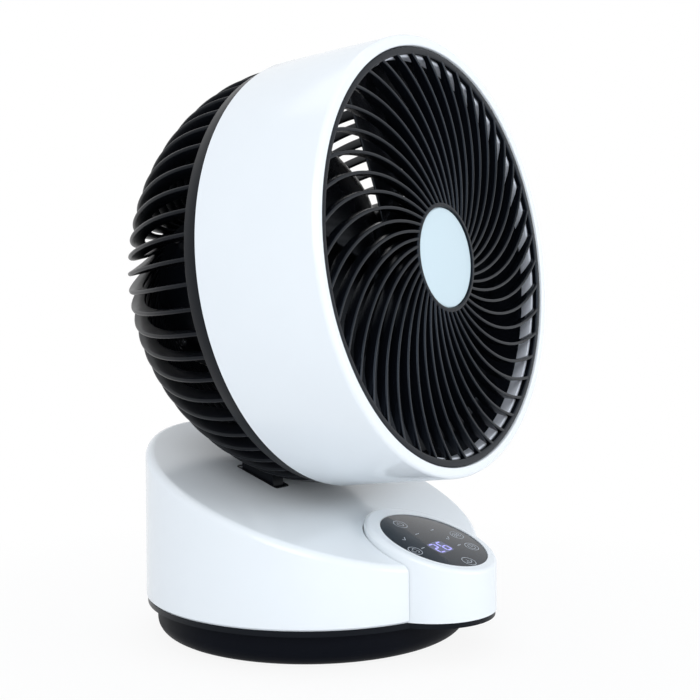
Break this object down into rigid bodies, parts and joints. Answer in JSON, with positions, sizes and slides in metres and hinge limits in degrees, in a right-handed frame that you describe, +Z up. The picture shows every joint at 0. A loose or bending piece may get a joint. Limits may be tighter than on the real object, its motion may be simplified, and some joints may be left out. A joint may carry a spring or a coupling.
{
  "type": "air circulator fan",
  "caption": "Desk air circulator fan: a guarded drum nods in a slant-topped base with a round touch panel, and the base swings from side to side on a weighted foot.",
  "frame": {"origin": "on the table, on the vertical axis that the base swings about, under the middle of the foot", "axes": "+Z up; the fan blows towards -Y, which is the front; +X is to the right of someone facing the fan"},
  "size_m": [0.268, 0.2356, 0.3642],
  "materials": {
    "white_plastic": "glossy white moulding",
    "black_plastic": "satin black moulding",
    "blade_plastic": "glossy black moulding",
    "panel_gloss": "dark polished window",
    "display_black": "black display body",
    "rubber": "matt rubber",
    "screw_steel": "zinc plated",
    "turned_steel": "turned and ground",
    "zinc_steel": "zinc plated sheet",
    "ballast_steel": "grey primer",
    "core_steel": "varnished laminations",
    "motor_aluminium": "die cast",
    "copper_wire": "enamelled copper wire",
    "bearing_plastic": "natural slippery plastic",
    "circuit_board": "green solder mask"
  },
  "bodies": {
    "foot": {"foot_shell": "black_plastic", "pad_ring": "rubber", "foot_lid": "black_plastic", "lid_screws": "screw_steel", "ballast_plate": "ballast_steel", "cord_bush": "rubber", "pan_spindle": "turned_steel", "spindle_screws": "screw_steel", "glide_ring": "bearing_plastic", "pan_gear": "bearing_plastic", "spindle_nut": "turned_steel"},
    "base": {"base_shell": "white_plastic", "base_floor": "black_plastic", "floor_screws": "screw_steel", "console_housing": "white_plastic", "touch_panel": "panel_gloss", "control_board": "circuit_board", "board_screws": "screw_steel", "display_module": "display_black", "main_board": "circuit_board", "main_board_screws": "screw_steel", "pan_motor": "zinc_steel", "pan_motor_screws": "screw_steel", "hinge_stand": "zinc_steel", "stand_screws": "screw_steel", "hinge_pin": "turned_steel", "pin_clips": "screw_steel", "friction_washers": "bearing_plastic"},
    "pinion": {"pan_pinion": "bearing_plastic", "pinion_shaft": "turned_steel"},
    "head": {"tilt_bracket": "black_plastic", "saddle_screws": "screw_steel", "rear_grille": "black_plastic", "grille_screws": "screw_steel", "rear_cap": "black_plastic", "drum_shell": "white_plastic", "air_duct": "white_plastic", "front_grille": "black_plastic", "hub_cap": "white_plastic", "motor_pod": "black_plastic", "pod_screws": "screw_steel", "motor_mount_screws": "screw_steel", "front_bell": "motor_aluminium", "rear_bell": "motor_aluminium", "bell_bolts": "screw_steel", "stator_core": "core_steel", "stator_coils": "copper_wire", "front_bearing": "turned_steel", "rear_bearing": "turned_steel"},
    "rotor": {"impeller": "blade_plastic", "drive_pin": "turned_steel", "spinner_nut": "blade_plastic", "motor_shaft": "turned_steel", "rotor_core": "core_steel"}
  },
  "joints": [
    {"name": "pan", "type": "hinge", "parent": "foot", "child": "base", "pos_m": [0, 0, 0.03], "axis": [0, 0, 1], "range_deg": [-40, 40]},
    {"name": "pinion_spin", "type": "hinge", "parent": "base", "child": "pinion", "pos_m": [0.03399, -0.01585, 0.039], "axis": [0, 0, 1], "range_deg": [-165, 165]},
    {"name": "tilt", "type": "hinge", "parent": "base", "child": "head", "pos_m": [0, 0.03, 0.08901], "axis": [1, 0, 0], "range_deg": [-11, 5]},
    {"name": "fan_spin", "type": "hinge", "parent": "head", "child": "rotor", "pos_m": [0, -0.0338, 0.22801], "axis": [0, -0.9962, 0.0872], "continuous": true}
  ],
  "couplings": [
    {"joint": "pinion_spin", "follows": "pan", "ratio": 4}
  ]
}
